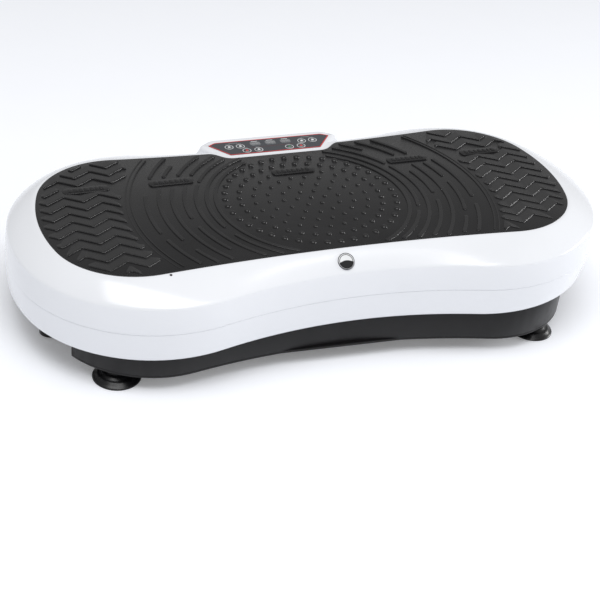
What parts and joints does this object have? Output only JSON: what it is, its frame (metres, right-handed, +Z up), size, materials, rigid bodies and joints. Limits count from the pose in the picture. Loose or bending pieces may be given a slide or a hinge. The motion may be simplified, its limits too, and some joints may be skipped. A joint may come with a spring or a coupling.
{
  "type": "vibration plate",
  "caption": "See-saw vibration plate: waisted white platform with a patterned rubber standing mat and a rear control panel, rocking on a black base with suction feet.",
  "frame": {"origin": "on the floor, under the middle of the plate", "axes": "+X along the plate's length, +Y to the side with the control panel, +Z up"},
  "size_m": [0.753, 0.368, 0.1572],
  "materials": {
    "white_shell": "glossy moulded ABS",
    "mat_rubber": "moulded rubber, matt",
    "black_base": "satin moulded plastic",
    "cup_rubber": "soft rubber, slight sheen",
    "frame_steel": "black powder coat",
    "bright_steel": "zinc plated or ground",
    "motor_paint": "dark grey paint",
    "cast_alloy": "die cast",
    "bush_bronze": "sintered bronze",
    "belt_rubber": "fabric backed belt",
    "circuit_board": "solder mask",
    "panel_film": "printed film",
    "display_window": "smoked clear plastic",
    "key_cap": "moulded keys with a printed ring",
    "badge_metal": "bright ring, dark dish",
    "remote_lens": "infrared lens",
    "switch_cap": "rocker cap"
  },
  "bodies": {
    "base": {"anchor_bars": "bright_steel", "anchor_screws": "bright_steel", "band_anchor_left": "black_base", "band_anchor_right": "black_base", "base_rails": "frame_steel", "base_tray": "black_base", "bearing_blocks": "frame_steel", "bottom_plate": "black_base", "bottom_screws": "bright_steel", "bracket_bolts": "bright_steel", "control_board": "circuit_board", "control_cover": "black_base", "crossmembers": "frame_steel", "cup_studs": "bright_steel", "drive_belt": "belt_rubber", "drive_plate": "frame_steel", "mains_inlet": "black_base", "motor_case": "motor_paint", "motor_cradle": "frame_steel", "motor_end_cap": "motor_paint", "pivot_bracket_front": "frame_steel", "pivot_bracket_rear": "frame_steel", "pivot_bushes": "bush_bronze", "shaft_bearings": "bright_steel", "suction_cup_front_left": "cup_rubber", "suction_cup_front_right": "cup_rubber", "suction_cup_rear_left": "cup_rubber", "suction_cup_rear_right": "cup_rubber"},
    "platform": {"top_shell": "white_shell", "lower_skirt": "white_shell", "standing_mat": "mat_rubber", "shell_screws": "bright_steel", "deck_plate": "frame_steel", "deck_bolts": "bright_steel", "platform_rails": "frame_steel", "pivot_lugs": "frame_steel", "rocking_shaft": "bright_steel", "rod_bracket": "frame_steel", "wrist_pin": "bright_steel", "panel_housing": "white_shell", "panel_overlay": "panel_film", "display_windows": "display_window", "panel_board": "circuit_board", "panel_screws": "bright_steel", "front_badge": "badge_metal", "remote_window": "remote_lens"},
    "crank": {"eccentric_shaft": "bright_steel", "driven_pulley": "cast_alloy"},
    "motor_rotor": {"motor_rotor": "bright_steel", "motor_pulley": "cast_alloy"},
    "connecting_rod": {"connecting_rod": "cast_alloy"},
    "power_rocker": {"power_rocker": "switch_cap"},
    "key_upper_1": {"key_upper_1": "key_cap"},
    "key_upper_2": {"key_upper_2": "key_cap"},
    "key_upper_3": {"key_upper_3": "key_cap"},
    "key_upper_4": {"key_upper_4": "key_cap"},
    "key_lower_1": {"key_lower_1": "key_cap"},
    "key_lower_2": {"key_lower_2": "key_cap"},
    "key_lower_3": {"key_lower_3": "key_cap"},
    "key_lower_4": {"key_lower_4": "key_cap"}
  },
  "joints": [
    {"name": "platform_rock", "type": "hinge", "parent": "base", "child": "platform", "pos_m": [0, 0, 0.0911], "axis": [0, 1, 0], "range_deg": [0, 4.2]},
    {"name": "crank_spin", "type": "hinge", "parent": "base", "child": "crank", "pos_m": [0.12948, 0, 0.058], "axis": [0, 1, 0], "continuous": true},
    {"name": "motor_spin", "type": "hinge", "parent": "base", "child": "motor_rotor", "pos_m": [0.05, 0, 0.064], "axis": [0, 1, 0], "continuous": true},
    {"name": "rod_swivel", "type": "hinge", "parent": "crank", "child": "connecting_rod", "pos_m": [0.12948, 0, 0.06276], "axis": [0, 1, 0], "continuous": true},
    {"name": "power_switch", "type": "hinge", "parent": "base", "child": "power_rocker", "pos_m": [0.017, 0.1531, 0.04], "axis": [1, 0, 0], "range_deg": [0, 16]},
    {"name": "press_upper_1", "type": "slide", "parent": "platform", "child": "key_upper_1", "axis": [-0.0366, 0, 0.9993], "range_m": [-0.0005, 0], "stiffness_N_per_m": 1500, "springref_m": 0.0003},
    {"name": "press_upper_2", "type": "slide", "parent": "platform", "child": "key_upper_2", "axis": [-0.0366, 0, 0.9993], "range_m": [-0.0005, 0], "stiffness_N_per_m": 1500, "springref_m": 0.0003},
    {"name": "press_upper_3", "type": "slide", "parent": "platform", "child": "key_upper_3", "axis": [-0.0366, 0, 0.9993], "range_m": [-0.0005, 0], "stiffness_N_per_m": 1500, "springref_m": 0.0003},
    {"name": "press_upper_4", "type": "slide", "parent": "platform", "child": "key_upper_4", "axis": [-0.0366, 0, 0.9993], "range_m": [-0.0005, 0], "stiffness_N_per_m": 1500, "springref_m": 0.0003},
    {"name": "press_lower_1", "type": "slide", "parent": "platform", "child": "key_lower_1", "axis": [-0.0366, 0, 0.9993], "range_m": [-0.0005, 0], "stiffness_N_per_m": 1500, "springref_m": 0.0003},
    {"name": "press_lower_2", "type": "slide", "parent": "platform", "child": "key_lower_2", "axis": [-0.0366, 0, 0.9993], "range_m": [-0.0005, 0], "stiffness_N_per_m": 1500, "springref_m": 0.0003},
    {"name": "press_lower_3", "type": "slide", "parent": "platform", "child": "key_lower_3", "axis": [-0.0366, 0, 0.9993], "range_m": [-0.0005, 0], "stiffness_N_per_m": 1500, "springref_m": 0.0003},
    {"name": "press_lower_4", "type": "slide", "parent": "platform", "child": "key_lower_4", "axis": [-0.0366, 0, 0.9993], "range_m": [-0.0005, 0], "stiffness_N_per_m": 1500, "springref_m": 0.0003}
  ],
  "couplings": [
    {"joint": "motor_spin", "follows": "crank_spin", "ratio": 2.3333},
    {"joint": "rod_swivel", "follows": "crank_spin", "ratio": -1}
  ]
}
